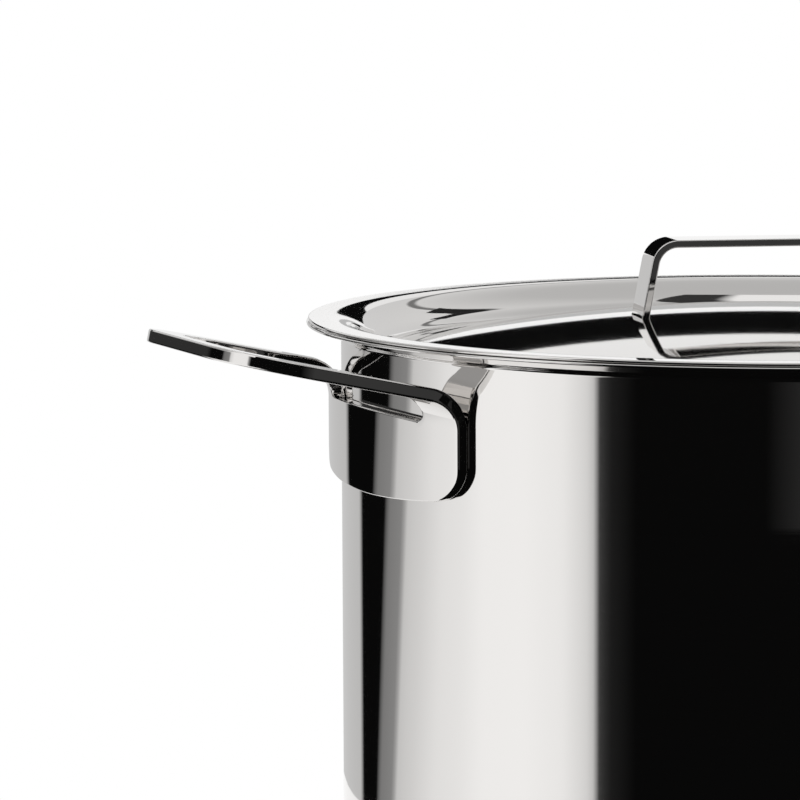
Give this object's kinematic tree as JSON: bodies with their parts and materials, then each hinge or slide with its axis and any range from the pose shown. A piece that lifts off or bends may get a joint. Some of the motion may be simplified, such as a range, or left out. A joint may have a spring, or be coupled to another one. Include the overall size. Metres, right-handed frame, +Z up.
{
  "type": "stock pot",
  "caption": "Tall round stock pot in polished steel with a flared rim, a domed lid with a bent strip handle, and pressed loop side handles.",
  "frame": {"origin": "centre of the underside of the base, on the surface the pot stands on", "axes": "+Z up along the pot's axis, +X toward the right side handle, +Y away from the viewer toward the back of the pot"},
  "size_m": [0.3532, 0.2606, 0.2274],
  "materials": {
    "polished_steel": "mirror polished",
    "handle_steel": "mirror polished",
    "satin_steel": "satin",
    "heat_disc": "plain"
  },
  "bodies": {
    "root": {"pot_body": "polished_steel", "heat_disc": "heat_disc", "base_cap": "satin_steel", "left_handle": "handle_steel", "right_handle": "handle_steel", "lid": "polished_steel", "lid_handle": "handle_steel"}
  },
  "joints": []
}
